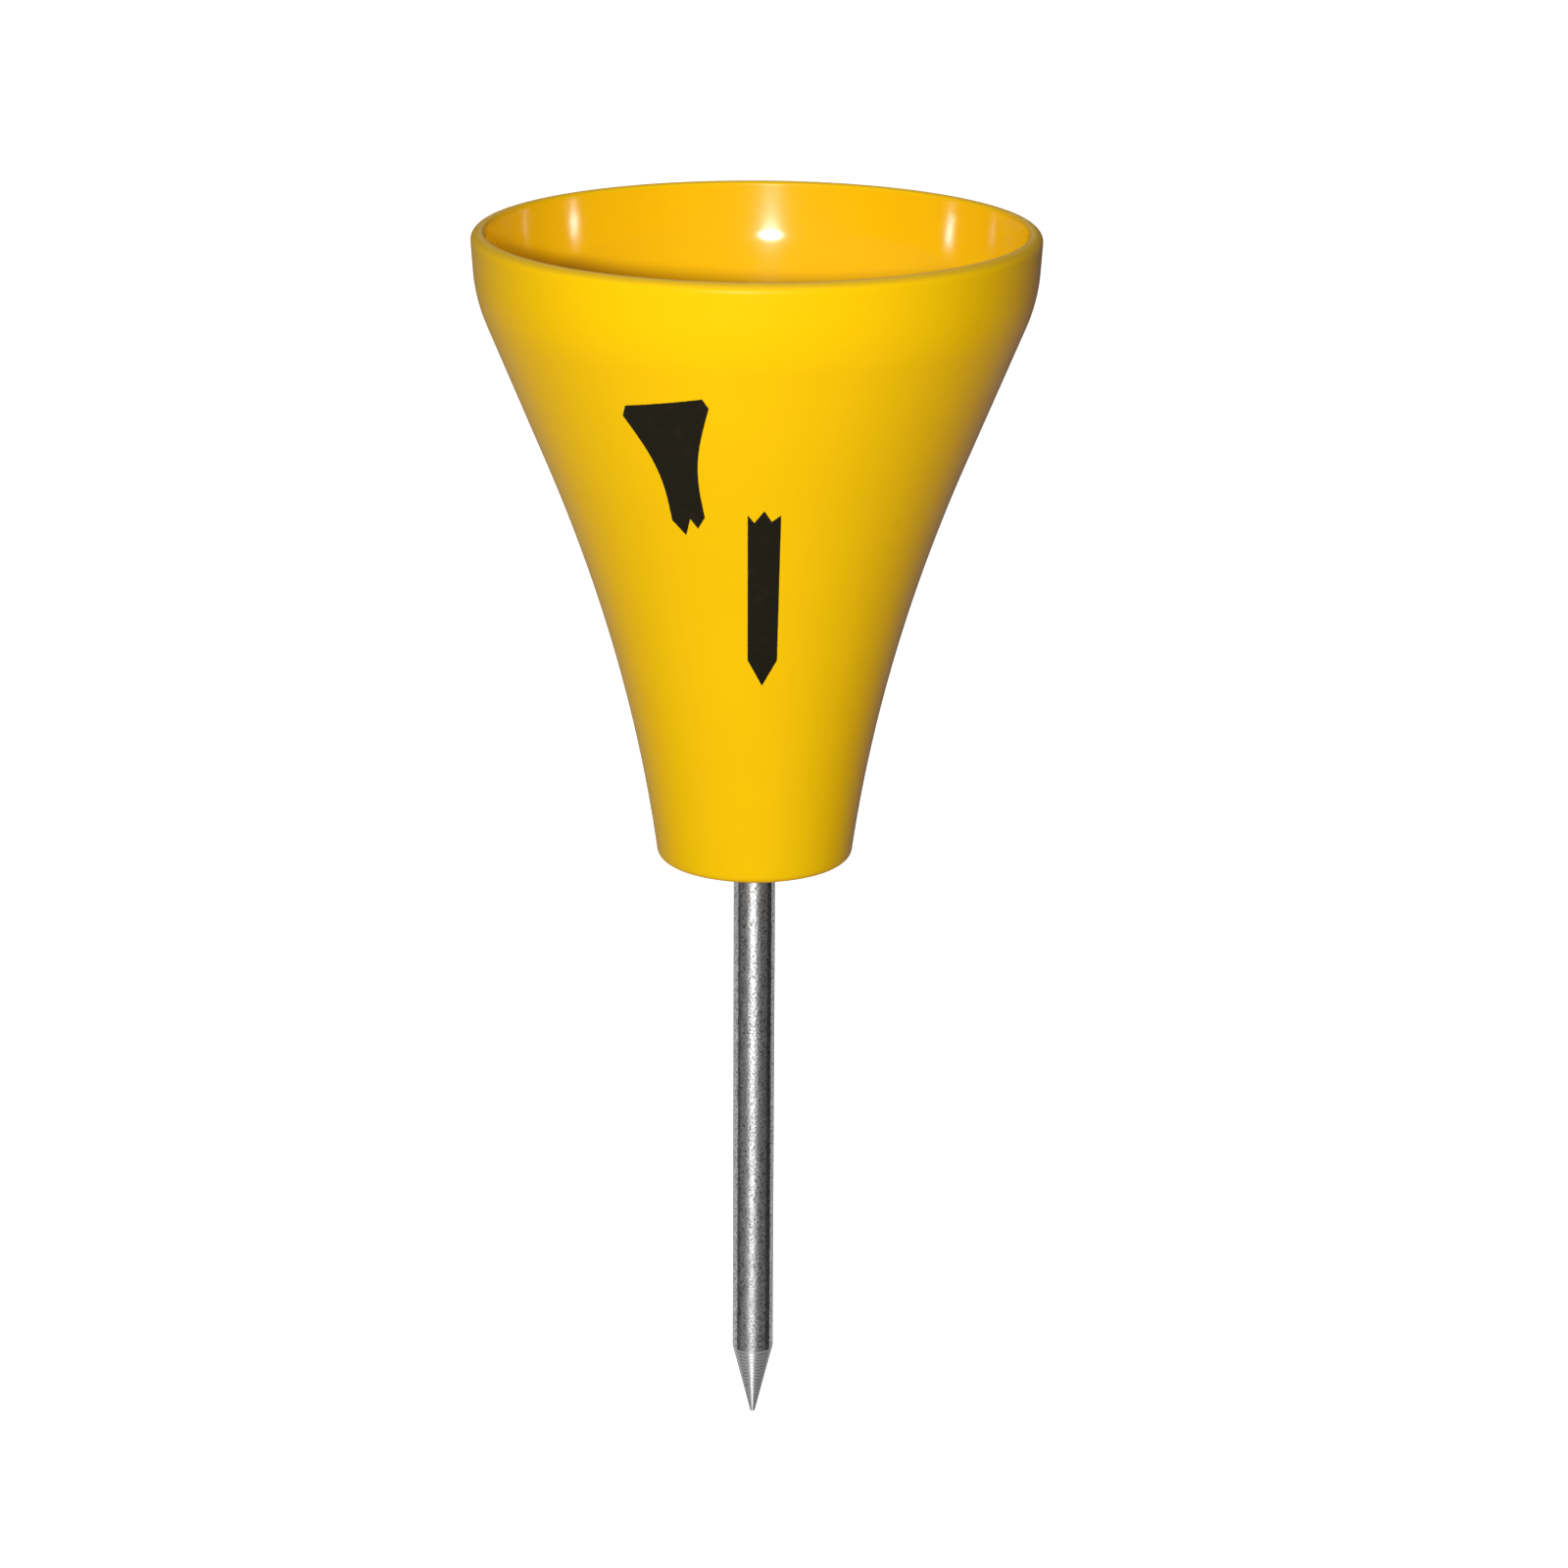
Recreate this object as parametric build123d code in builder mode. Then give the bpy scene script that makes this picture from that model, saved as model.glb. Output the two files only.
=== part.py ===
"""Broken-tee container for a golf tee box: a cup like a giant golf tee, bolted to a steel ground spike.

Millimetres, +Z up. The origin is on the axis, in the plane of the cup's foot, which is the turf line when
the spike is pushed in. The front, which carries the broken-tee pictogram, faces -Y.
"""

import os
from math import cos, radians, sin, tan

from build123d import *

os.makedirs("parts", exist_ok=True)

# ---------------------------------------------------------------- driving dimensions
# The cup's outline, from the foot up: a curved neck, a straight cone, a shoulder arc and a steep band.
CUP_HEIGHT = 150.0
RIM_RADIUS = 65.2  # to the corner, before it is rounded
FOOT_RADIUS = 23.0
CONE_START_Z = 97.0
SHOULDER_Z = 135.0
NECK_ANGLE = 7.2  # lean of the wall from upright, in degrees
CONE_ANGLE = 22.2
BAND_ANGLE = 3.6
SHOULDER_ARC = 38.0
WALL = 3.7
OPENING_ANGLE = 8.5  # lean at which the cavity's wall leaves the shoulder's arc for a wide one
OPENING_ARC = 175.0  # radius of that wide arc, which thins the wall to 3.2 at the rim
RIM_OUTER_ROUND = 2.1
RIM_INNER_ROUND = 0.8
FOOT_ROUND = 2.0

# The floor sits above the foot, so the jam nut hides in a recess under it.
FLOOR_UNDERSIDE_Z = 8.0
FLOOR_THICKNESS = 4.0
HUB_RADIUS = 13.6
HUB_TOP_Z = 16.0
FLOOR_ROUND = 2.5
DRAIN_COUNT = 6
DRAIN_RADIUS = 2.25
DRAIN_CIRCLE_RADIUS = 17.3
RIB_DEPTH = 4.5
RIB_THICKNESS = 2.0
RIB_START_RADIUS = 11.6

# The spike is a length of 10 mm rod with an M10 thread at its upper end.
ROD_RADIUS = 5.0
SPIKE_LENGTH = 178.0
SPIKE_TOP_Z = 31.5
POINT_LENGTH = 18.3
POINT_TIP_RADIUS = 0.6
POINT_TIP_ROUND = 0.35  # height of the blunted tip
THREAD_PITCH = 1.5
THREAD_SHOULDER_Z = 0.6  # where the rod is turned down to the thread's crests
THREAD_START_Z = 1.4  # middle of the groove's first turn
THREAD_CREST_RADIUS = 4.83
THREAD_DEPTH = 0.6 * THREAD_PITCH
THREAD_MOUTH = 0.97 * THREAD_PITCH
THREAD_ROOT = 0.14 * THREAD_PITCH
THREAD_OVERCUT = 0.18  # how far the groove's cutter reaches out past the crests
END_CHAMFER = 0.9
ROD_CLEARANCE = 0.2  # radial, between the plain rod and the cup's bore
THREAD_CLEARANCE = 0.04  # radial, between the crests and the nuts' plain bores

# M10 nuts and washers
HEX_ACROSS_FLATS = 17.0
JAM_NUT_HEIGHT = 5.0
WASHER_BORE_RADIUS = 5.25
UNDER_WASHER_RADIUS = 10.0
FENDER_WASHER_RADIUS = 12.5
WASHER_THICKNESS = 2.0
LOCK_NUT_HEIGHT = 10.0
LOCK_NUT_HEX_HEIGHT = 6.8
COLLAR_RADIUS = 7.6
COLLAR_LIP_RADIUS = 5.8
INSERT_RADIUS = 6.6
INSERT_HEIGHT = 2.4
COLLAR_ROUND = 0.9
WASHER_ROLL = 0.4

# The pictogram is cut vinyl film, in two fragments, seen from the front as (x, z).
FILM_THICKNESS = 0.15
HEAD_PLACE = (-20.2, 121.9)  # middle of the tee head's top edge
HEAD_TURN = 10.5  # degrees anticlockwise
HEAD_TOP_HALF = 8.6
HEAD_LIP_HALF = 9.6
HEAD_LIP_DROP = 2.4
HEAD_WAIST_DROP = 25.0  # where the flare ends and the shank begins
HEAD_BREAK_DROP = 29.0
SHANK_PLACE = (1.7, 73.5)  # middle of the loose shank
SHANK_TURN = -0.5
SHANK_HALF = 3.7

# ---------------------------------------------------------------- derived sizes
rod_bore_radius = ROD_RADIUS + ROD_CLEARANCE
nut_bore_radius = THREAD_CREST_RADIUS + THREAD_CLEARANCE
floor_top_z = FLOOR_UNDERSIDE_Z + FLOOR_THICKNESS
spike_tip_z = SPIKE_TOP_Z - SPIKE_LENGTH
under_washer_z = FLOOR_UNDERSIDE_Z - WASHER_THICKNESS
jam_nut_z = under_washer_z - JAM_NUT_HEIGHT
lock_nut_z = HUB_TOP_Z + WASHER_THICKNESS
insert_z = lock_nut_z + LOCK_NUT_HEX_HEIGHT


def lean(angle):
    """Radial growth per millimetre of height, for a wall leaning out by angle degrees."""
    return tan(radians(angle))


shoulder_radius = RIM_RADIUS - lean(BAND_ANGLE) * (CUP_HEIGHT - SHOULDER_Z)
cone_start_radius = shoulder_radius - lean(CONE_ANGLE) * (SHOULDER_Z - CONE_START_Z)


def finish(part, name):
    """Labels a finished piece and writes its STEP file."""
    part.label = name
    export_step(part, f"parts/{name}.step")


# ---------------------------------------------------------------- the cup's outline, as (radius, height)
with BuildLine() as outline:
    third = CONE_START_Z / 3
    neck = Bezier(
        (FOOT_RADIUS, 0),
        (FOOT_RADIUS + third * lean(NECK_ANGLE), third),
        (cone_start_radius - third * lean(CONE_ANGLE), 2 * third),
        (cone_start_radius, CONE_START_Z),
    )
    shoulder = FilletPolyline(
        neck @ 1,
        (shoulder_radius, SHOULDER_Z),
        (RIM_RADIUS, CUP_HEIGHT),
        radius=SHOULDER_ARC,
    )

shoulder_centre = shoulder.edges().filter_by(GeomType.CIRCLE)[0].arc_center
cavity_arc_radius = SHOULDER_ARC - WALL
opening_start = shoulder_centre + (
    cavity_arc_radius * cos(radians(OPENING_ANGLE)),
    -cavity_arc_radius * sin(radians(OPENING_ANGLE)),
)

# ---------------------------------------------------------------- cup
with BuildPart() as cup:
    with BuildSketch(Plane.XZ):
        with BuildLine():
            add(outline.line)
            Polyline((RIM_RADIUS, CUP_HEIGHT), (0, CUP_HEIGHT), (0, 0), (FOOT_RADIUS, 0))
        make_face()
    revolve(axis=Axis.Z)
    offset(amount=-WALL, openings=cup.faces().filter_by(Plane.XY), kind=Kind.INTERSECTION)

    # Above the shoulder the cavity opens out along a wide arc, which would come parallel with the outside
    # just above the rim
    with BuildSketch(Plane.XZ):
        with BuildLine():
            opening = JernArc(
                opening_start,
                (lean(OPENING_ANGLE), 1),
                radius=OPENING_ARC,
                arc_size=OPENING_ANGLE - BAND_ANGLE,
            )
            Polyline(opening @ 1, (opening_start.X, (opening @ 1).Y), opening @ 0)
        make_face()
    revolve(axis=Axis.Z, mode=Mode.SUBTRACT)

    # Floor plate and the thicker hub that the spike passes through
    with BuildSketch(Plane.XY.offset(FLOOR_UNDERSIDE_Z)):
        Circle(FOOT_RADIUS)
    extrude(amount=FLOOR_THICKNESS)
    with BuildSketch(Plane.XY.offset(FLOOR_UNDERSIDE_Z)):
        Circle(HUB_RADIUS)
    extrude(amount=HUB_TOP_Z - FLOOR_UNDERSIDE_Z)
    fillet(cup.edges().filter_by_position(Axis.Z, floor_top_z - 0.01, floor_top_z + 0.01), FLOOR_ROUND)

    # Stiffening ribs in the recess under the floor
    rib_end_radius = FOOT_RADIUS - WALL / 2
    with BuildSketch(Plane.XY.offset(FLOOR_UNDERSIDE_Z)):
        with PolarLocations((RIB_START_RADIUS + rib_end_radius) / 2, DRAIN_COUNT, 180 / DRAIN_COUNT):
            Rectangle(rib_end_radius - RIB_START_RADIUS, RIB_THICKNESS)
    extrude(amount=-RIB_DEPTH)

    # Spike bore and drain holes
    with Locations((0, 0, HUB_TOP_Z)):
        Hole(rod_bore_radius)
    with Locations((0, 0, floor_top_z)):
        with PolarLocations(DRAIN_CIRCLE_RADIUS, DRAIN_COUNT):
            Hole(DRAIN_RADIUS)

    # Rounded rim and foot
    fillet(cup.edges().group_by(Axis.Z)[-1].sort_by(SortBy.LENGTH)[-1], RIM_OUTER_ROUND)
    fillet(cup.edges().group_by(Axis.Z)[-1].sort_by(SortBy.LENGTH)[0], RIM_INNER_ROUND)
    fillet(cup.edges().group_by(Axis.Z)[0].sort_by(SortBy.LENGTH)[-1], FOOT_ROUND)
finish(cup.part, "cup")

# ---------------------------------------------------------------- spike
with BuildPart() as spike:
    # Bar stock, longer than the spike, with a helical V groove at its upper end
    with BuildSketch(Plane.XY.offset(spike_tip_z)):
        Circle(ROD_RADIUS)
    extrude(amount=SPIKE_LENGTH + 3 * THREAD_PITCH)
    with BuildLine(Plane.XY.offset(THREAD_START_Z)):
        groove_height = SPIKE_TOP_Z - THREAD_START_Z + THREAD_PITCH
        groove_path = Helix(THREAD_PITCH, groove_height, THREAD_CREST_RADIUS)
    with BuildSketch(Plane(origin=groove_path @ 0, x_dir=(1, 0, 0), z_dir=groove_path % 0)):
        Polygon(
            (THREAD_OVERCUT, -THREAD_MOUTH / 2),
            (THREAD_OVERCUT, THREAD_MOUTH / 2),
            (-THREAD_DEPTH, THREAD_ROOT / 2),
            (-THREAD_DEPTH, -THREAD_ROOT / 2),
            align=None,
        )
    sweep(path=groove_path, is_frenet=True, mode=Mode.SUBTRACT)

    # The turned outline: the point, the plain rod, and the threaded end with its chamfer
    with BuildSketch(Plane.XZ):
        Polygon(
            (0, spike_tip_z),
            (POINT_TIP_RADIUS, spike_tip_z + POINT_TIP_ROUND),
            (ROD_RADIUS, spike_tip_z + POINT_LENGTH),
            (ROD_RADIUS, THREAD_SHOULDER_Z),
            (THREAD_CREST_RADIUS, THREAD_SHOULDER_Z),
            (THREAD_CREST_RADIUS, SPIKE_TOP_Z - END_CHAMFER),
            (THREAD_CREST_RADIUS - END_CHAMFER, SPIKE_TOP_Z),
            (0, SPIKE_TOP_Z),
            align=None,
        )
    revolve(axis=Axis.Z, mode=Mode.INTERSECT)
finish(spike.part, "spike")


# ---------------------------------------------------------------- nuts and washers
def add_hexagon(z, height):
    """Adds a hexagon bar standing on height z, with its corners turned down at both ends."""
    flat_radius = HEX_ACROSS_FLATS / 2
    corner_radius = flat_radius / cos(radians(30))
    corner_drop = (corner_radius - flat_radius) * tan(radians(30))
    with BuildSketch(Plane.XY.offset(z)) as hexagon:
        RegularPolygon(flat_radius, 6, major_radius=False)
    extrude(hexagon.sketch, amount=height)
    with BuildSketch(Plane.XZ) as turned_outline:
        Polygon(
            (0, z),
            (flat_radius, z),
            (corner_radius, z + corner_drop),
            (corner_radius, z + height - corner_drop),
            (flat_radius, z + height),
            (0, z + height),
            align=None,
        )
    revolve(turned_outline.sketch, axis=Axis.Z, mode=Mode.INTERSECT)


def add_washer(z, outer_radius):
    """Adds a punched flat washer standing on height z, with its upper outer edge rolled over."""
    with BuildSketch(Plane.XY.offset(z)) as ring:
        Circle(outer_radius)
        Circle(WASHER_BORE_RADIUS, mode=Mode.SUBTRACT)
    washer = extrude(ring.sketch, amount=WASHER_THICKNESS)
    fillet(washer.edges().group_by(Axis.Z)[-1].sort_by(SortBy.LENGTH)[-1], WASHER_ROLL)


with BuildPart() as jam_nut:
    add_hexagon(jam_nut_z, JAM_NUT_HEIGHT)
    with Locations((0, 0, jam_nut_z)):
        Hole(nut_bore_radius)
finish(jam_nut.part, "jam_nut")

with BuildPart() as under_washer:
    add_washer(under_washer_z, UNDER_WASHER_RADIUS)
finish(under_washer.part, "under_washer")

with BuildPart() as fender_washer:
    add_washer(HUB_TOP_Z, FENDER_WASHER_RADIUS)
finish(fender_washer.part, "fender_washer")

with BuildPart() as lock_nut:
    add_hexagon(lock_nut_z, LOCK_NUT_HEX_HEIGHT)

    # Round collar with a rounded crown
    with BuildSketch(Plane.XY.offset(insert_z)):
        Circle(COLLAR_RADIUS)
    collar = extrude(amount=LOCK_NUT_HEIGHT - LOCK_NUT_HEX_HEIGHT)
    fillet(collar.edges().group_by(Axis.Z)[-1], COLLAR_ROUND)

    # Bore, pocket for the nylon insert, and the opening in the lip crimped over it
    with Locations((0, 0, lock_nut_z)):
        Hole(nut_bore_radius)
    with BuildSketch(Plane.XY.offset(insert_z)):
        Circle(INSERT_RADIUS)
    extrude(amount=INSERT_HEIGHT, mode=Mode.SUBTRACT)
    with BuildSketch(Plane.XY.offset(insert_z)):
        Circle(COLLAR_LIP_RADIUS)
    extrude(amount=LOCK_NUT_HEIGHT, mode=Mode.SUBTRACT)
finish(lock_nut.part, "lock_nut")

with BuildPart() as lock_nut_insert:
    with BuildSketch(Plane.XY.offset(insert_z)):
        Circle(INSERT_RADIUS)
        Circle(nut_bore_radius, mode=Mode.SUBTRACT)
    extrude(amount=INSERT_HEIGHT)
finish(lock_nut_insert.part, "lock_nut_insert")


# ---------------------------------------------------------------- pictogram film
def front_plane(place, turn):
    """Upright plane seen from the front, its origin at place (x, z), turned anticlockwise by turn degrees."""
    x, z = place
    return Plane(origin=(x, 0, z), x_dir=(cos(radians(turn)), 0, sin(radians(turn))), z_dir=(0, -1, 0))


def add_film_skin():
    """Adds a film-thin skin over the whole of the cup's outside, for a fragment's outline to be cut from."""
    with BuildSketch(Plane.XZ) as section:
        with BuildLine():
            add(outline.line)
            add(Pos(FILM_THICKNESS, 0) * outline.line)
            for end in (outline.line @ 0, outline.line @ 1):
                Line(end, end + (FILM_THICKNESS, 0))
        make_face()
    revolve(section.sketch, axis=Axis.Z)


# Upper fragment: the tee's cupped head and the top of its shank, down to a jagged break
with BuildPart() as tee_head_film:
    add_film_skin()
    with BuildSketch(front_plane(HEAD_PLACE, HEAD_TURN)):
        with BuildLine():
            brim = Polyline(
                (-HEAD_LIP_HALF, -HEAD_LIP_DROP),
                (-HEAD_TOP_HALF, 0),
                (HEAD_TOP_HALF, 0),
                (HEAD_LIP_HALF, -HEAD_LIP_DROP),
            )
            Polyline(
                (SHANK_HALF, -HEAD_WAIST_DROP),
                (SHANK_HALF, -HEAD_BREAK_DROP),
                (0.45 * SHANK_HALF, -HEAD_BREAK_DROP - 2.6),
                (0.1 * SHANK_HALF, -HEAD_BREAK_DROP),
                (-0.35 * SHANK_HALF, -HEAD_BREAK_DROP - 4),
                (-SHANK_HALF, -HEAD_BREAK_DROP),
                (-SHANK_HALF, -HEAD_WAIST_DROP),
            )
            for side, lip in ((1, brim @ 1), (-1, brim @ 0)):
                Bezier(
                    lip,
                    (side * 0.65 * HEAD_LIP_HALF, -0.4 * HEAD_WAIST_DROP),
                    (side * SHANK_HALF, -0.6 * HEAD_WAIST_DROP),
                    (side * SHANK_HALF, -HEAD_WAIST_DROP),
                )
        make_face()
    extrude(amount=RIM_RADIUS, mode=Mode.INTERSECT)
finish(tee_head_film.part, "tee_head_film")

# Lower fragment: the loose shank, from the jagged break down to the tee's point
with BuildPart() as tee_shank_film:
    add_film_skin()
    with BuildSketch(front_plane(SHANK_PLACE, SHANK_TURN)):
        Polygon(
            (0, -22),
            (0.9 * SHANK_HALF, -15.5),
            (SHANK_HALF, 21.5),
            (0.45 * SHANK_HALF, 19.9),
            (0, 22.6),
            (-0.6 * SHANK_HALF, 19.6),
            (-SHANK_HALF, 21.5),
            (-0.9 * SHANK_HALF, -15.5),
            align=None,
        )
    extrude(amount=RIM_RADIUS, mode=Mode.INTERSECT)
finish(tee_shank_film.part, "tee_shank_film")
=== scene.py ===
from math import cos, pi, radians, sin, tan

import bmesh
import bpy
from mathutils import Matrix, Vector


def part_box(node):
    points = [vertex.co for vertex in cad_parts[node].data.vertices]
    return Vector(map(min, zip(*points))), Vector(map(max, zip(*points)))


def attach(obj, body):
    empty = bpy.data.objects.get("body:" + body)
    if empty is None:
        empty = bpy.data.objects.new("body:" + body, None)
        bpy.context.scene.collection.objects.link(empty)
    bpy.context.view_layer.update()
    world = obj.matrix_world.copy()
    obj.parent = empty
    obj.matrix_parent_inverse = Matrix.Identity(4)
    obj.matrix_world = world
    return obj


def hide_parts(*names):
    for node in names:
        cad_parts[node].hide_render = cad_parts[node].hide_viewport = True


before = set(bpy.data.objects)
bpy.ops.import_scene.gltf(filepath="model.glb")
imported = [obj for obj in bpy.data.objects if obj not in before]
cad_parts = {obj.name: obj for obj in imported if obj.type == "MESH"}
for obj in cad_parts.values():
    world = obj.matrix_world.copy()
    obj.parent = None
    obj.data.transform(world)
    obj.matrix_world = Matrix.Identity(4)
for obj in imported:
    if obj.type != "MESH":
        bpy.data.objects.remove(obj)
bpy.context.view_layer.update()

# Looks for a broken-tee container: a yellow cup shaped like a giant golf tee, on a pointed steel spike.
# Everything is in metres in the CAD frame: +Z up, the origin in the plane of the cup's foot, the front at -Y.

MM = 0.001

# ---------------------------------------------------------------- sizes worked out from the frame
POINT_LENGTH = 18.3 * MM  # the spike's, as in the CAD model
rim_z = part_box("cup")[1].z
tip_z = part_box("spike")[0].z
point_start_z = tip_z + POINT_LENGTH
hub_top_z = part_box("fender_washer")[0].z


# ---------------------------------------------------------------- node helpers
def set_input(tree, socket, value):
    """Links a socket, or sets a plain value."""
    if isinstance(value, bpy.types.NodeSocket):
        tree.links.new(value, socket)
    else:
        socket.default_value = value


def add_node(tree, kind, inputs=None, **settings):
    """Adds a shader node with its settings and its inputs, which are plain values or other nodes' sockets."""
    node = tree.nodes.new("ShaderNode" + kind)
    for key, value in settings.items():
        setattr(node, key, value)
    for key, value in (inputs or {}).items():
        set_input(tree, node.inputs[key], value)
    return node


def new_material(name):
    """A node material: returns it with its tree and its Principled shader."""
    material = bpy.data.materials.new(name)
    material.use_nodes = True
    tree = material.node_tree
    return material, tree, tree.nodes["Principled BSDF"]


def place(tree):
    """Position in the object's frame, in millimetres."""
    coordinates = add_node(tree, "TexCoord").outputs["Object"]
    return add_node(tree, "VectorMath", {0: coordinates, 3: 1 / MM}, operation="SCALE").outputs["Vector"]


def stretched(tree, vector, x, y, z):
    """The vector with its axes scaled, to stretch a texture."""
    return add_node(tree, "VectorMath", {0: vector, 1: (x, y, z)}, operation="MULTIPLY").outputs["Vector"]


def height_of(tree, vector):
    """The vector's upright part."""
    return add_node(tree, "SeparateXYZ", {"Vector": vector}).outputs["Z"]


def radius_of(tree, vector):
    """The vector's distance from the axis."""
    flat = stretched(tree, vector, 1, 1, 0)
    return add_node(tree, "VectorMath", {0: flat}, operation="LENGTH").outputs["Value"]


def calc(tree, operation, a, b=0.0):
    """A sum, product or other plain calculation on one or two numbers."""
    return add_node(tree, "Math", {0: a, 1: b}, operation=operation).outputs["Value"]


def noise(tree, vector, size_mm, detail=2.0, roughness=0.5):
    """Noise whose blobs are about size_mm across, from 0 to 1."""
    return add_node(
        tree, "TexNoise", {"Vector": vector, "Scale": 1 / size_mm, "Detail": detail, "Roughness": roughness}
    ).outputs["Fac"]


def ranged(tree, value, low, high, to_low=0.0, to_high=1.0):
    """Maps low..high to to_low..to_high, smoothly and clamped."""
    return add_node(
        tree,
        "MapRange",
        {"Value": value, "From Min": low, "From Max": high, "To Min": to_low, "To Max": to_high},
        interpolation_type="SMOOTHSTEP",
    ).outputs["Result"]


def mixed(tree, factor, a, b):
    """Colour a where factor is 0, b where it is 1."""
    node = tree.nodes.new("ShaderNodeMix")
    node.data_type = "RGBA"
    set_input(tree, node.inputs["Factor"], factor)
    set_input(tree, node.inputs["A"], a)
    set_input(tree, node.inputs["B"], b)
    return node.outputs["Result"]


def mixed_value(tree, factor, a, b):
    """Number a where factor is 0, b where it is 1."""
    return add_node(tree, "Mix", {0: factor, 2: a, 3: b}).outputs[0]


def bumped(tree, height, depth_mm, under=None):
    """A normal raised by height (0 to 1) times depth_mm."""
    inputs = {"Height": height, "Distance": depth_mm * MM, "Strength": 1.0}
    if under is not None:
        inputs["Normal"] = under
    return add_node(tree, "Bump", inputs).outputs["Normal"]


def turned_about_axis(tree, shader, amount):
    """Smears reflections up and down, across marks that run round the axis."""
    tangent = add_node(tree, "Tangent", direction_type="RADIAL", axis="Z").outputs["Tangent"]
    set_input(tree, shader.inputs["Tangent"], tangent)
    set_input(tree, shader.inputs["Anisotropic"], amount)
    shader.inputs["Anisotropic Rotation"].default_value = 0.25


# ---------------------------------------------------------------- materials
def faces_axis(tree, where):
    """1 on walls that look towards the axis, 0 on everything else."""
    outward = add_node(tree, "VectorMath", {0: stretched(tree, where, 1, 1, 0)}, operation="NORMALIZE")
    normal = add_node(tree, "NewGeometry").outputs["True Normal"]
    away = add_node(
        tree, "VectorMath", {0: outward.outputs["Vector"], 1: normal}, operation="DOT_PRODUCT"
    ).outputs["Value"]
    return ranged(tree, away, -0.80, -0.92)


def faces_up(tree):
    """1 on surfaces that look upwards, such as the rim's crest, 0 on upright walls."""
    normal = add_node(tree, "NewGeometry").outputs["True Normal"]
    return ranged(tree, height_of(tree, normal), 0.3, 0.8)


def yellow_plastic():
    """Moulded yellow: polished inside, satin outside and rubbed dull on the rim's crest, where a painted
    sheen also dulls the colour.
    """
    material, tree, shader = new_material("yellow_plastic")
    where = place(tree)
    crest = faces_up(tree)
    # The polish stops where the rim's inner edge starts to round over
    below_rim = ranged(tree, height_of(tree, where), rim_z / MM - 0.7, rim_z / MM - 1.0)
    inside = calc(tree, "MULTIPLY", faces_axis(tree, where), below_rim)

    clouds = noise(tree, where, 28, detail=3)
    clear = mixed(tree, clouds, (0.91, 0.500, 0.002, 1), (0.95, 0.540, 0.003, 1))
    outside_yellow = mixed(tree, clouds, (0.84, 0.510, 0.002, 1), (0.88, 0.550, 0.003, 1))
    # A duller, darker yellow mixed in on upward-facing surfaces such as the rim's crest: a painted sheen
    # standing in for the grey reflection there
    crest_sheen = (0.58, 0.36, 0.015, 1)
    outside_yellow = mixed(tree, calc(tree, "MULTIPLY", crest, 0.5), outside_yellow, crest_sheen)
    set_input(tree, shader.inputs["Base Color"], mixed(tree, inside, outside_yellow, clear))

    rubs = noise(tree, stretched(tree, where, 1, 1, 3), 9, detail=5, roughness=0.65)
    polished = ranged(tree, rubs, 0.3, 0.7, 0.25, 0.28)
    satin = ranged(tree, rubs, 0.3, 0.7, 0.30, 0.36)
    rubbed = mixed_value(tree, crest, satin, 0.55)
    set_input(tree, shader.inputs["Roughness"], mixed_value(tree, inside, rubbed, polished))
    outside_gloss = mixed_value(tree, crest, 0.06, 0.16)
    set_input(tree, shader.inputs["Specular IOR Level"], mixed_value(tree, inside, outside_gloss, 0.06))
    turned_about_axis(tree, shader, calc(tree, "MULTIPLY", inside, 0.8))
    set_input(tree, shader.inputs["Coat Weight"], inside)
    shader.inputs["Coat IOR"].default_value = 1.75
    shader.inputs["Coat Roughness"].default_value = 0.085

    # Faint ripples run round the cup, with fine orange peel on top of them
    ripples = noise(tree, stretched(tree, where, 0.15, 0.15, 1), 6, detail=1)
    rippled = bumped(tree, ripples, 0.06)
    peel = noise(tree, where, 1.6, detail=2)
    set_input(tree, shader.inputs["Normal"], bumped(tree, peel, 0.001, under=rippled))
    return material


def black_film():
    """Black vinyl film: satin, with a fine calendered grain and dusty scuffs."""
    material, tree, shader = new_material("black_film")
    where = place(tree)
    scuffs = noise(tree, where, 3, detail=6, roughness=0.7)
    scuffed = ranged(tree, scuffs, 0.5, 0.8)
    colour = mixed(tree, scuffed, (0.0100, 0.0080, 0.0035, 1), (0.018, 0.015, 0.008, 1))
    set_input(tree, shader.inputs["Base Color"], colour)
    set_input(tree, shader.inputs["Roughness"], ranged(tree, scuffs, 0.3, 0.8, 0.42, 0.6))
    shader.inputs["Specular IOR Level"].default_value = 0.13
    set_input(tree, shader.inputs["Normal"], bumped(tree, noise(tree, where, 0.25), 0.004))
    return material


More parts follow.
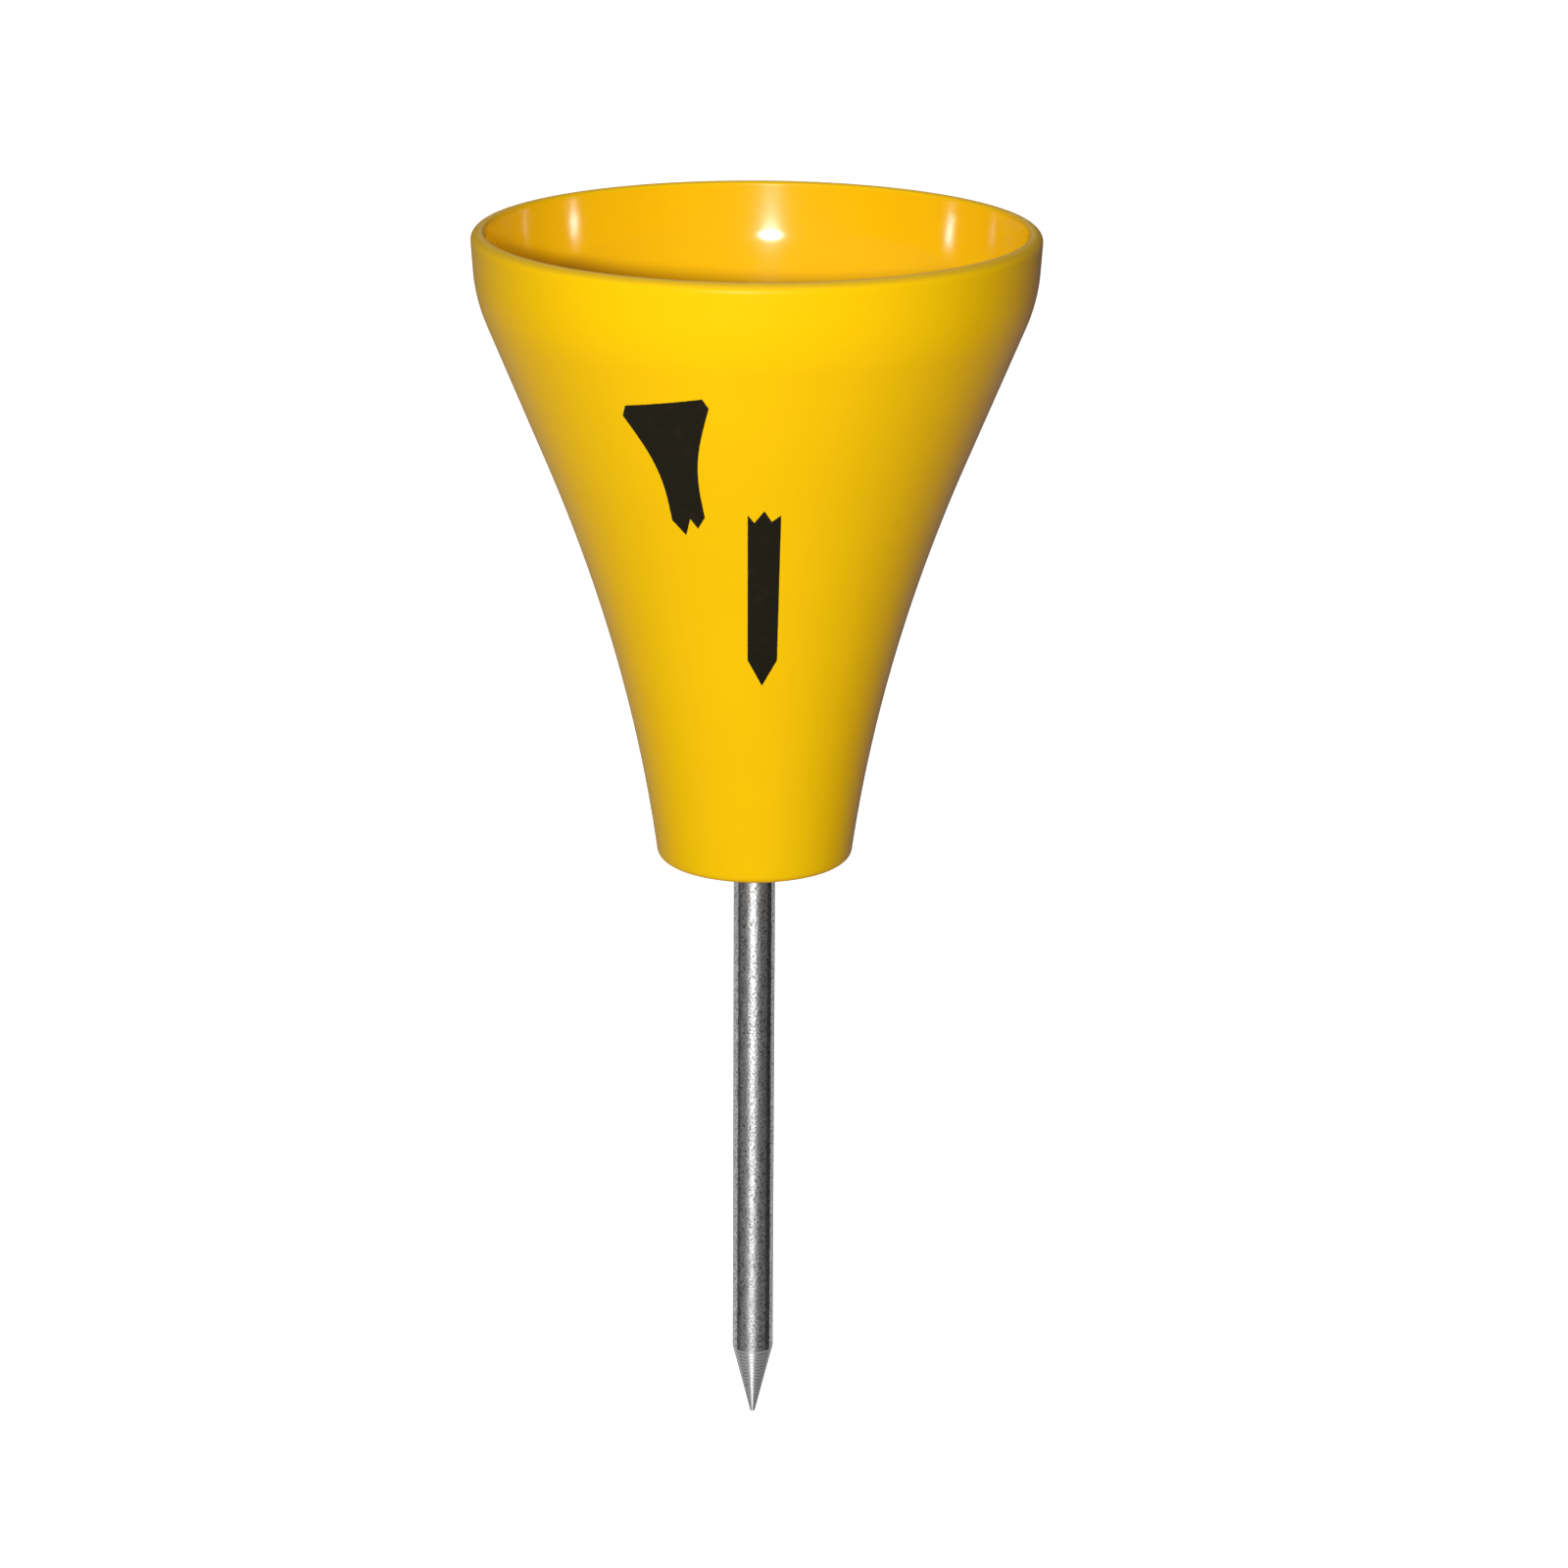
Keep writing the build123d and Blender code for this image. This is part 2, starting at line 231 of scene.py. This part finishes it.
def spike_steel():
    """Bright drawn bar with a grainy, speckled skin that looks smoother edge-on; the point is turned."""
    material, tree, shader = new_material("spike_steel")
    where = place(tree)
    height = height_of(tree, where)
    grain = noise(tree, where, 0.6, detail=3, roughness=0.65)
    blotches = noise(tree, stretched(tree, where, 1, 1, 0.5), 2.2, detail=4, roughness=0.6)
    on_point = ranged(tree, height, point_start_z / MM + 0.1, point_start_z / MM - 0.1)
    on_bar = calc(tree, "SUBTRACT", 1.0, on_point)
    turning_away = add_node(tree, "LayerWeight", {"Blend": 0.5}).outputs["Facing"]
    grazing = calc(tree, "MULTIPLY", ranged(tree, turning_away, 0.22, 0.32), on_bar)

    skin = mixed(tree, ranged(tree, blotches, 0.35, 0.7), (0.70, 0.70, 0.70, 1), (0.95, 0.95, 0.94, 1))
    skin = mixed(tree, ranged(tree, grain, 0.52, 0.40), skin, (0.34, 0.34, 0.34, 1))
    skin = mixed(tree, ranged(tree, grain, 0.36, 0.31), skin, (0.07, 0.07, 0.07, 1))
    rings = add_node(
        tree,
        "TexWave",
        {"Vector": where, "Scale": 0.33, "Distortion": 3.0, "Detail": 3.0, "Detail Scale": 2.0},
        wave_type="BANDS",
        bands_direction="Z",
    ).outputs["Fac"]
    grooves = calc(tree, "MULTIPLY", ranged(tree, rings, 0.3, 0.8), on_point)
    turned = mixed(tree, grooves, (0.93, 0.93, 0.92, 1), (0.80, 0.80, 0.80, 1))
    set_input(tree, shader.inputs["Base Color"], mixed(tree, on_point, skin, turned))
    shader.inputs["Metallic"].default_value = 1.0

    skin_roughness = ranged(tree, grain, 0.40, 0.60, 0.54, 0.33)
    skin_roughness = mixed_value(tree, grazing, skin_roughness, 0.17)
    turned_roughness = mixed_value(tree, grooves, 0.38, 0.50)
    set_input(tree, shader.inputs["Roughness"], mixed_value(tree, on_point, skin_roughness, turned_roughness))
    turned_smear = mixed_value(tree, grooves, 0.85, 0.95)
    turned_about_axis(tree, shader, mixed_value(tree, on_point, 0.78, turned_smear))

    rough_skin = calc(tree, "SUBTRACT", on_bar, grazing)
    normal = bumped(tree, calc(tree, "MULTIPLY", grain, rough_skin), 0.11)
    normal = bumped(tree, grooves, 0.02, under=normal)
    set_input(tree, shader.inputs["Normal"], normal)
    return material


def zinc_plate():
    """Clear zinc plate: bluish, spangled, rubbed in rings by the wrench and the press."""
    material, tree, shader = new_material("zinc_plate")
    where = place(tree)
    spangle = noise(tree, where, 1.1, detail=4, roughness=0.6)
    colour = mixed(tree, spangle, (0.58, 0.60, 0.63, 1), (0.80, 0.81, 0.80, 1))
    set_input(tree, shader.inputs["Base Color"], colour)
    shader.inputs["Metallic"].default_value = 1.0
    set_input(tree, shader.inputs["Roughness"], ranged(tree, spangle, 0.3, 0.7, 0.24, 0.42))
    around = {"X": radius_of(tree, where), "Y": height_of(tree, where), "Z": 0.0}
    rings = noise(tree, add_node(tree, "CombineXYZ", around).outputs["Vector"], 0.22, detail=2)
    set_input(tree, shader.inputs["Normal"], bumped(tree, rings, 0.006))
    return material


def natural_nylon():
    """Off-white nylon ring, slightly translucent."""
    material, tree, shader = new_material("natural_nylon")
    where = place(tree)
    clouds = noise(tree, where, 2.0, detail=4)
    colour = mixed(tree, clouds, (0.74, 0.73, 0.66, 1), (0.84, 0.83, 0.77, 1))
    set_input(tree, shader.inputs["Base Color"], colour)
    set_input(tree, shader.inputs["Roughness"], ranged(tree, clouds, 0.3, 0.7, 0.36, 0.5))
    shader.inputs["Subsurface Weight"].default_value = 0.2
    shader.inputs["Subsurface Scale"].default_value = 1 * MM
    set_input(tree, shader.inputs["Normal"], bumped(tree, noise(tree, where, 0.3), 0.004))
    return material


def dress(node_name, material):
    """Gives a CAD node its material."""
    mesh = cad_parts[node_name].data
    mesh.materials.clear()
    mesh.materials.append(material)


# ---------------------------------------------------------------- cup
# The CAD cup's own sizes in millimetres, so that a finely divided lathe can stand for its coarser mesh
WALL = 3.7
OPENING_ANGLE = radians(8.5)
OPENING_ARC = 175.0
FOOT_RADIUS = 23.0
CONE_START_Z = 97.0
SHOULDER_Z = 135.0
NECK_LEAN = tan(radians(7.2))
CONE_LEAN = tan(radians(22.2))
BAND_ANGLE = radians(3.6)
RIM_CORNER_RADIUS = 65.2
SHOULDER_ARC = 38.0
FLOOR_UNDERSIDE_Z = 8.0
FLOOR_TOP_Z = 12.0
HUB_RADIUS = 13.6
BORE_RADIUS = 5.2
DRAIN_COUNT = 6
DRAIN_RADIUS = 2.25
DRAIN_CIRCLE_RADIUS = 17.3
DRILL_LENGTH = 14.0  # of the cutter for the drains, longer than the floor and its ribs are thick
RIB_START_RADIUS = 11.6
RIB_THICKNESS = 2.0
RIB_LOW_Z = 3.5
RIB_OVERLAP = 1.0  # how far a rib's top runs on into the floor
FOOT_ROUND = 2.0
RIM_OUTER_ROUND = 2.1
RIM_INNER_ROUND = 0.8
FLOOR_ROUND = 2.5

# How finely the lathe divides the cup round the axis, and along each stretch of its outline
SEGMENTS = 288
NECK_STEPS = 60
CONE_STEPS = 12
SHOULDER_STEPS = 24
BAND_STEPS = 8
OPENING_STEPS = 16
RIM_STEPS = 8
DRAIN_SEGMENTS = 48
SHARP_ANGLE = radians(32)  # edges that turn more than this are shaded sharp


def rounded_join(before, after, radius, steps=6):
    """Joins two runs of points that share a corner, with the corner rounded."""
    corner = before[-1]
    incoming = (corner - before[-2]).normalized()
    outgoing = (after[1] - corner).normalized()
    turn = incoming.angle_signed(outgoing)
    reach = radius * tan(abs(turn) / 2)
    side = Vector((incoming.y, -incoming.x)) * (1 if turn > 0 else -1)
    centre = corner - incoming * reach + side * radius
    arm = -side * radius
    arc = [centre + rotated(arm, -turn * step / steps) for step in range(steps + 1)]
    clear = reach * 1.001  # a hair over the reach, so that no point is there twice
    kept_before = [p for p in before[:-1] if (p - corner).length > clear]
    kept_after = [p for p in after[1:] if (p - corner).length > clear]
    return kept_before + arc + kept_after


def rotated(vector, angle):
    """A flat vector turned anticlockwise."""
    x = vector.x * cos(angle) - vector.y * sin(angle)
    y = vector.x * sin(angle) + vector.y * cos(angle)
    return Vector((x, y))


def cup_outline():
    """The cup's outside from foot to rim, as finely spaced (radius, height) points in millimetres."""
    shoulder_radius = RIM_CORNER_RADIUS - tan(BAND_ANGLE) * (rim_z / MM - SHOULDER_Z)
    cone_radius = shoulder_radius - CONE_LEAN * (SHOULDER_Z - CONE_START_Z)
    third = CONE_START_Z / 3
    a = Vector((FOOT_RADIUS, 0))
    b = Vector((FOOT_RADIUS + third * NECK_LEAN, third))
    c = Vector((cone_radius - third * CONE_LEAN, 2 * third))
    d = Vector((cone_radius, CONE_START_Z))
    neck = []
    for step in range(NECK_STEPS + 1):
        t = step / NECK_STEPS
        neck.append((1 - t) ** 3 * a + 3 * t * (1 - t) ** 2 * b + 3 * t * t * (1 - t) * c + t ** 3 * d)
    shoulder = Vector((shoulder_radius, SHOULDER_Z))
    rim_corner = Vector((RIM_CORNER_RADIUS, rim_z / MM))
    cone = [d.lerp(shoulder, step / CONE_STEPS) for step in range(1, CONE_STEPS + 1)]
    band = [shoulder.lerp(rim_corner, step / BAND_STEPS) for step in range(BAND_STEPS + 1)]
    return rounded_join(neck + cone, band, SHOULDER_ARC, steps=SHOULDER_STEPS)


def inset(points, distance):
    """The points moved sideways, towards the axis."""
    moved = []
    for index, point in enumerate(points):
        along = points[min(index + 1, len(points) - 1)] - points[max(index - 1, 0)]
        moved.append(point + Vector((-along.y, along.x)).normalized() * distance)
    return moved


def opened_out(inside):
    """The inside with its band following a wide arc, which leaves the shoulder's arc at OPENING_ANGLE."""
    kept = []
    for low, high in zip(inside, inside[1:]):
        kept.append(low)
        if low.y > CONE_START_Z and high.x - low.x < tan(OPENING_ANGLE) * (high.y - low.y):
            break
    start = kept[-1]
    for step in range(1, OPENING_STEPS + 1):
        angle = OPENING_ANGLE + (BAND_ANGLE - OPENING_ANGLE) * step / OPENING_STEPS
        out = cos(angle) - cos(OPENING_ANGLE)
        up = sin(OPENING_ANGLE) - sin(angle)
        kept.append(start + OPENING_ARC * Vector((out, up)))
    return kept


def cut_at(points, height):
    """The point where a rising run of points passes a height, or would, if it started lower."""
    for low, high in zip(points, points[1:]):
        if low.y <= height <= high.y:
            return low.lerp(high, (height - low.y) / (high.y - low.y))
    return points[0] + (points[1] - points[0]) * ((height - points[0].y) / (points[1].y - points[0].y))


def between(points, low, high):
    """The part of a rising run of points between two heights."""
    gap = 0.05  # keeps the ends clear of their neighbours
    middle = [p for p in points if low + gap < p.y < high - gap]
    return [cut_at(points, low)] + middle + [cut_at(points, high)]


def cup_section():
    """The cup's closed section in (radius, height), once round from the foot's inner edge."""
    outside = cup_outline()
    inside = opened_out(inset(outside, WALL))
    top = rim_z / MM
    foot = [cut_at(inside, 0), outside[0]]
    rim = [outside[-1], cut_at(inside, top)]
    cavity = between(inside, FLOOR_TOP_Z, top)[::-1]
    floor = [cavity[-1], Vector((HUB_RADIUS, FLOOR_TOP_Z))]
    hub = [floor[-1], Vector((HUB_RADIUS, hub_top_z / MM))]
    section = rounded_join(foot, outside, FOOT_ROUND)
    section = rounded_join(section, rim, RIM_OUTER_ROUND, steps=RIM_STEPS)
    section = rounded_join(section, cavity, RIM_INNER_ROUND)
    section = rounded_join(section, floor, FLOOR_ROUND)
    section = rounded_join(section, hub, FLOOR_ROUND)
    recess = between(inside, 0, FLOOR_UNDERSIDE_Z)[::-1]
    bore = [Vector((BORE_RADIUS, hub_top_z / MM)), Vector((BORE_RADIUS, FLOOR_UNDERSIDE_Z))]
    return section + bore + recess[:-1]


def lathe(name, section, segments):
    """Turns a closed section, in millimetres, about the axis."""
    rows = len(section)
    angles = [2 * pi * step / segments for step in range(segments)]
    corners = [(p.x * MM * cos(a), p.x * MM * sin(a), p.y * MM) for a in angles for p in section]
    faces = []
    for step in range(segments):
        here = step * rows
        there = (step + 1) % segments * rows
        for row in range(rows):
            after = (row + 1) % rows
            faces.append((here + row, there + row, there + after, here + after))
    return new_mesh(name, corners, faces)


def new_mesh(name, corners, faces):
    """An object in the scene, made of these corners and faces."""
    mesh = bpy.data.meshes.new(name)
    mesh.from_pydata(corners, [], faces)
    mesh.update()
    thing = bpy.data.objects.new(name, mesh)
    bpy.context.scene.collection.objects.link(thing)
    return thing


def apply_boolean(piece, tool, operation):
    """Cuts tool from piece, or joins it on, and removes tool."""
    modifier = piece.modifiers.new(operation, "BOOLEAN")
    modifier.operation = operation
    modifier.solver = "EXACT"
    modifier.object = tool
    depsgraph = bpy.context.evaluated_depsgraph_get()
    piece.data = bpy.data.meshes.new_from_object(piece.evaluated_get(depsgraph))
    piece.modifiers.clear()
    bpy.data.objects.remove(tool)


def around_axis(name, shape, count, first_angle=0.0):
    """Copies of a small bmesh shape turned about the axis, as one object."""
    whole = bmesh.new()
    for step in range(count):
        copy = shape.copy()
        turn = Matrix.Rotation(first_angle + 2 * pi * step / count, 3, "Z")
        bmesh.ops.rotate(copy, verts=copy.verts, matrix=turn)
        mesh = bpy.data.meshes.new("copy")
        copy.to_mesh(mesh)
        whole.from_mesh(mesh)
        copy.free()
        bpy.data.meshes.remove(mesh)
    mesh = bpy.data.meshes.new(name)
    whole.to_mesh(mesh)
    whole.free()
    thing = bpy.data.objects.new(name, mesh)
    bpy.context.scene.collection.objects.link(thing)
    return thing


def build_cup():
    """The moulding, turned on a lathe, then drilled and ribbed; it stands for the CAD cup."""
    cup = lathe("cup_moulding", cup_section(), SEGMENTS)

    drill = bmesh.new()
    bmesh.ops.create_cone(
        drill,
        cap_ends=True,
        segments=DRAIN_SEGMENTS,
        radius1=DRAIN_RADIUS * MM,
        radius2=DRAIN_RADIUS * MM,
        depth=DRILL_LENGTH * MM,
        matrix=Matrix.Translation((DRAIN_CIRCLE_RADIUS * MM, 0, FLOOR_TOP_Z * MM)),
    )
    apply_boolean(cup, around_axis("drains", drill, DRAIN_COUNT), "DIFFERENCE")

    # Each rib runs on into the wall and the floor, so that it joins them
    rib_end_radius = FOOT_RADIUS - WALL / 2
    rib_high_z = FLOOR_UNDERSIDE_Z + RIB_OVERLAP
    rib_size = Vector((rib_end_radius - RIB_START_RADIUS, RIB_THICKNESS, rib_high_z - RIB_LOW_Z))
    rib_middle = Vector(((rib_end_radius + RIB_START_RADIUS) / 2, 0, (rib_high_z + RIB_LOW_Z) / 2))
    rib = bmesh.new()
    bmesh.ops.create_cube(rib, size=1)
    bmesh.ops.scale(rib, verts=rib.verts, vec=rib_size * MM)
    bmesh.ops.translate(rib, verts=rib.verts, vec=rib_middle * MM)
    apply_boolean(cup, around_axis("ribs", rib, DRAIN_COUNT, pi / DRAIN_COUNT), "UNION")

    cup.data.materials.append(yellow_plastic())
    cup.data.shade_smooth()
    cup.data.set_sharp_from_angle(angle=SHARP_ANGLE)
    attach(cup, "root")
    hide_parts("cup")


build_cup()
dress("spike", spike_steel())
zinc = zinc_plate()
for name in ("jam_nut", "under_washer", "fender_washer", "lock_nut"):
    dress(name, zinc)
dress("lock_nut_insert", natural_nylon())
film = black_film()
for name in ("tee_head_film", "tee_shank_film"):
    dress(name, film)


# ---------------------------------------------------------------- floor
FLOOR_HALF = 6.0  # half the paper's width, in metres


def pale_floor():
    """Pale paper under the object, which only the camera sees, and only from above."""
    corners = [(x * FLOOR_HALF, y * FLOOR_HALF, 0) for x, y in ((-1, -1), (1, -1), (1, 1), (-1, 1))]
    floor = new_mesh("floor", corners, [(0, 1, 2, 3)])
    floor.location = (0, 0, tip_z)
    material, tree, shader = new_material("paper")
    shader.inputs["Base Color"].default_value = (0.90, 0.90, 0.89, 1)
    shader.inputs["Roughness"].default_value = 0.9
    glow = add_node(tree, "Emission", {"Color": (1, 1, 1, 1), "Strength": 1.0})
    lit = add_node(tree, "AddShader", {0: shader.outputs["BSDF"], 1: glow.outputs["Emission"]})
    clear = add_node(tree, "BsdfTransparent")
    below = add_node(tree, "NewGeometry").outputs["Backfacing"]
    both = add_node(tree, "MixShader", {0: below, 1: lit.outputs["Shader"], 2: clear.outputs["BSDF"]})
    tree.links.new(both.outputs["Shader"], tree.nodes["Material Output"].inputs["Surface"])
    floor.data.materials.append(material)
    floor.visible_glossy = False
    floor.visible_diffuse = False


pale_floor()


# ---------------------------------------------------------------- studio
def studio_world():
    """White to the camera; to the object, pale paper behind and below, and a dim room in front.

    The paper is brighter from the left and close below. What falls on matt surfaces is warm, most of all from
    the right.
    """
    world = bpy.data.worlds.new("studio")
    world.use_nodes = True
    bpy.context.scene.world = world
    tree = world.node_tree
    direction = add_node(tree, "TexCoord").outputs["Generated"]
    parts = add_node(tree, "SeparateXYZ", {"Vector": direction}).outputs

    # The paper's near edge runs slightly askew
    askew = calc(tree, "MULTIPLY", parts["X"], 0.09)
    behind = ranged(tree, calc(tree, "SUBTRACT", parts["Y"], askew), 0.22, 0.29)
    below = ranged(tree, parts["Z"], -0.50, -0.62)
    on_paper = calc(tree, "MAXIMUM", behind, below)

    to_right = ranged(tree, parts["X"], -0.6, 0.6)
    far_paper = mixed_value(tree, to_right, 0.31, 0.25)
    nearness = ranged(tree, parts["Z"], -0.25, -0.37, 1.0, 1.65)
    paper = calc(tree, "MULTIPLY", far_paper, nearness)
    room = mixed_value(tree, to_right, 0.085, 0.035)
    level = mixed_value(tree, on_paper, room, paper)

    ray = add_node(tree, "LightPath").outputs
    warmth = mixed(tree, to_right, (1, 0.77, 0.52, 1), (1, 0.58, 0.38, 1))
    colour = mixed(tree, ray["Is Diffuse Ray"], (1, 1, 1, 1), warmth)
    around = add_node(tree, "Background", {"Color": colour, "Strength": level}).outputs["Background"]
    white = add_node(tree, "Background", {"Color": (1, 1, 1, 1), "Strength": 1.0}).outputs["Background"]
    both = add_node(tree, "MixShader", {0: ray["Is Camera Ray"], 1: around, 2: white})
    tree.links.new(both.outputs["Shader"], tree.nodes["World Output"].inputs["Surface"])


def aimed(name, data, location, target, roll=0.0):
    """Links an object that looks from location to target, turned about its own view axis by roll."""
    thing = bpy.data.objects.new(name, data)
    look = (Vector(target) - Vector(location)).to_track_quat("-Z", "Y")
    thing.matrix_world = (
        Matrix.Translation(location) @ look.to_matrix().to_4x4() @ Matrix.Rotation(roll, 4, "Z")
    )
    bpy.context.scene.collection.objects.link(thing)
    return thing


def area_light(name, location, target, width, height, watts):
    """A lamp with an oval face, which shines from location towards target."""
    data = bpy.data.lights.new(name, "AREA")
    data.shape = "ELLIPSE"
    data.size = width
    data.size_y = height
    data.energy = watts
    aimed(name, data, location, target)


VIEW_DISTANCE = 1.0  # from the middle of the cup to the camera
VIEW_ELEVATION = radians(14.74)
PICTURE_MIDDLE = (0.00691, 0, 0.01732)  # where the camera looks, a little right of the axis
CAMERA_ROLL = radians(0.35)
LENS_LENGTH = 98.5  # in millimetres, like the sensor's width
SENSOR_WIDTH = 36
FLASH_GAP = 0.105  # from the lens to the flash on its left

studio_world()
cup_middle = Vector((0, 0, 0.5 * rim_z))
eye = cup_middle + VIEW_DISTANCE * Vector((0, -cos(VIEW_ELEVATION), sin(VIEW_ELEVATION)))

# The wide flash stands level with the lens; the two soft lamps keep the inside and the back from going dark
area_light("flash", eye - Vector((FLASH_GAP, 0, 0)), (0, 0, 0.07), 0.11, 0.055, 10.8)
area_light("overhead", (0, 0, 1.4), (0, 0, 0), 0.5, 0.5, 1.8)
area_light("behind", (0, 1.0, 0.9), (0, 0, 0.05), 0.6, 0.6, 2.6)

lens = bpy.data.cameras.new("camera")
lens.lens = LENS_LENGTH
lens.sensor_width = SENSOR_WIDTH
lens.clip_start = 0.01
camera = aimed("camera", lens, eye, PICTURE_MIDDLE, roll=CAMERA_ROLL)
bpy.context.scene.camera = camera
bpy.context.scene.view_settings.view_transform = "Standard"
